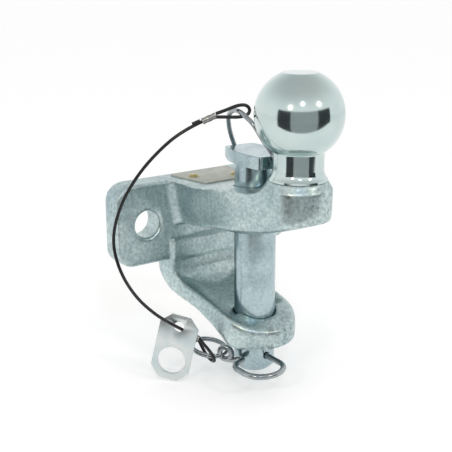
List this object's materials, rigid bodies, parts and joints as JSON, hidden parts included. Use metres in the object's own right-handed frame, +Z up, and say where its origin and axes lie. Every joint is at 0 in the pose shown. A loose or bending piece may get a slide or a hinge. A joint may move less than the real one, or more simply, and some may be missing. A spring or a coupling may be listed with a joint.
{
  "type": "trailer hitch with ball",
  "caption": "Forged two-bolt towing jaw with a ball on top, a lift-out coupling pin with bail, a hairpin clip and a cable lanyard, zinc plated.",
  "frame": {"origin": "centre of the two-bolt pattern on the mounting face", "axes": "+X away from the vehicle, +Z up along the ball and the coupling pin, Y along the line of the two bolts"},
  "size_m": [0.129, 0.1405, 0.1911],
  "materials": {
    "forged_zinc": "blue-passivated zinc on a forged, fine-grained surface",
    "ball_zinc": "bright zinc on a machined surface",
    "pin_zinc": "blue zinc on a turned bar",
    "wire_zinc": "bright zinc on spring wire",
    "tag_zinc": "satin zinc on pressed sheet",
    "ferrule_silver": "crimped sleeve",
    "cable_black": "glossy sleeve over wire rope",
    "plate_grey": "matte blank plate",
    "rivet_brass": "plain domed rivet"
  },
  "bodies": {
    "forging": {"mounting_flange": "forged_zinc", "ball_arm": "forged_zinc", "tow_ball": "ball_zinc", "lower_jaw": "forged_zinc", "nameplate": "plate_grey", "nameplate_rivets": "rivet_brass"},
    "pin": {"coupling_pin": "pin_zinc", "lanyard_upper_run": "cable_black", "lanyard_lower_run": "cable_black"},
    "bail": {"pin_bail": "wire_zinc", "upper_ferrule": "ferrule_silver", "lanyard_upper_eye": "cable_black"},
    "clip": {"hairpin_clip": "wire_zinc", "lower_ferrule": "ferrule_silver", "lanyard_lower_eye": "cable_black"},
    "ring": {"split_ring": "wire_zinc"},
    "tag": {"anchor_tag": "tag_zinc"}
  },
  "joints": [
    {"name": "pin_lift", "type": "slide", "parent": "forging", "child": "pin", "axis": [0, 0, 1], "range_m": [0, 0.002]},
    {"name": "bail_swing", "type": "hinge", "parent": "pin", "child": "bail", "pos_m": [0.065, 0, 0.0456], "axis": [0.9969, -0.0785, 0], "range_deg": [0, 25], "deforming": ["lanyard_upper_run"]},
    {"name": "clip_pull", "type": "slide", "parent": "pin", "child": "clip", "axis": [1, 0, 0], "range_m": [0, 0.04], "deforming": ["lanyard_lower_run"]},
    {"name": "ring_turn", "type": "hinge", "parent": "clip", "child": "ring", "pos_m": [0.0522, -0.0249, -0.0735], "axis": [0.1473, 0.092, 0.9848], "continuous": true},
    {"name": "tag_swing", "type": "hinge", "parent": "clip", "child": "tag", "pos_m": [0.049, -0.0448, -0.0564], "axis": [0.7071, -0.7071, 0], "range_deg": [-25, 8]}
  ]
}
